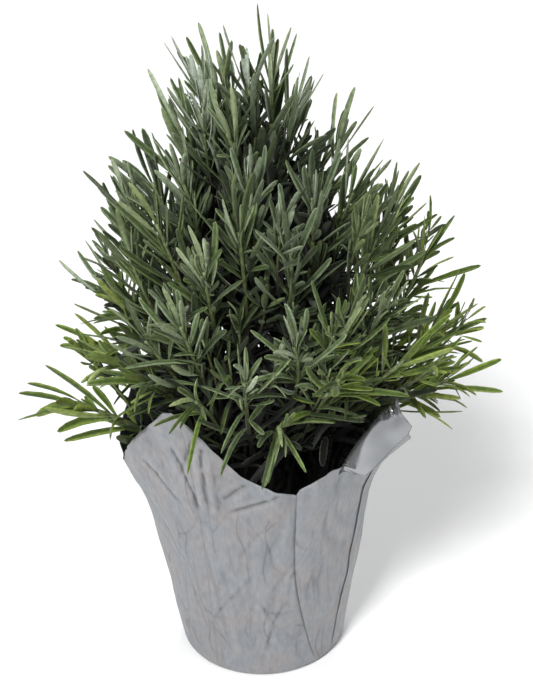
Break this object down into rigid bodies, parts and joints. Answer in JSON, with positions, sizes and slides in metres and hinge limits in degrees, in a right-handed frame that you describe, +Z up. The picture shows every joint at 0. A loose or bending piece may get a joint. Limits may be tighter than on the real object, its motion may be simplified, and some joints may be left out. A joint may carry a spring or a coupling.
{
  "type": "potted lavender",
  "caption": "Bushy lavender plant without flowers, narrow leaves in pairs on square stems, in a nursery pot inside a crinkled silver pot cover with pointed corners",
  "frame": {"origin": "the middle of the pot cover's flat underside, on the surface that the plant stands on", "axes": "+Z up; -Y is the front, where the cover's rim dips lowest; +X is to the right seen from the front"},
  "size_m": [0.2958, 0.2559, 0.426],
  "materials": {
    "silver_film": "satin",
    "black_plastic": "matte",
    "peat_soil": "matte",
    "grey_green_leaf": "matte",
    "fresh_green_leaf": "matte"
  },
  "bodies": {
    "root": {"leafy_stem_01": "grey_green_leaf", "leafy_stem_02": "grey_green_leaf", "leafy_stem_03": "grey_green_leaf", "leafy_stem_04": "grey_green_leaf", "leafy_stem_05": "grey_green_leaf", "leafy_stem_06": "grey_green_leaf", "leafy_stem_07": "grey_green_leaf", "leafy_stem_08": "grey_green_leaf", "leafy_stem_09": "grey_green_leaf", "leafy_stem_10": "grey_green_leaf", "leafy_stem_11": "grey_green_leaf", "leafy_stem_12": "grey_green_leaf", "leafy_stem_13": "grey_green_leaf", "leafy_stem_14": "grey_green_leaf", "leafy_stem_15": "grey_green_leaf", "leafy_stem_16": "grey_green_leaf", "leafy_stem_17": "grey_green_leaf", "leafy_stem_18": "grey_green_leaf", "leafy_stem_19": "grey_green_leaf", "leafy_stem_20": "grey_green_leaf", "leafy_stem_21": "fresh_green_leaf", "leafy_stem_22": "grey_green_leaf", "leafy_stem_23": "grey_green_leaf", "leafy_stem_24": "grey_green_leaf", "leafy_stem_25": "grey_green_leaf", "leafy_stem_26": "fresh_green_leaf", "leafy_stem_27": "grey_green_leaf", "leafy_stem_28": "fresh_green_leaf", "leafy_stem_29": "fresh_green_leaf", "leafy_stem_30": "grey_green_leaf", "leafy_stem_31": "grey_green_leaf", "leafy_stem_32": "fresh_green_leaf", "leafy_stem_33": "fresh_green_leaf", "leafy_stem_34": "grey_green_leaf", "leafy_stem_35": "fresh_green_leaf", "leafy_stem_36": "fresh_green_leaf", "leafy_stem_37": "fresh_green_leaf", "leafy_stem_38": "fresh_green_leaf", "leafy_stem_39": "fresh_green_leaf", "leafy_stem_40": "fresh_green_leaf", "leafy_stem_41": "fresh_green_leaf", "leafy_stem_42": "fresh_green_leaf", "leafy_stem_43": "grey_green_leaf", "leafy_stem_44": "grey_green_leaf", "leafy_stem_45": "grey_green_leaf", "leafy_stem_46": "grey_green_leaf", "leafy_stem_47": "grey_green_leaf", "leafy_stem_48": "grey_green_leaf", "leafy_stem_49": "grey_green_leaf", "leafy_stem_50": "grey_green_leaf", "leafy_stem_51": "grey_green_leaf", "leafy_stem_52": "grey_green_leaf", "leafy_stem_53": "grey_green_leaf", "leafy_stem_54": "grey_green_leaf", "leafy_stem_55": "grey_green_leaf", "leafy_stem_56": "grey_green_leaf", "nursery_pot": "black_plastic", "pot_cover": "silver_film", "potting_soil": "peat_soil"}
  },
  "joints": []
}
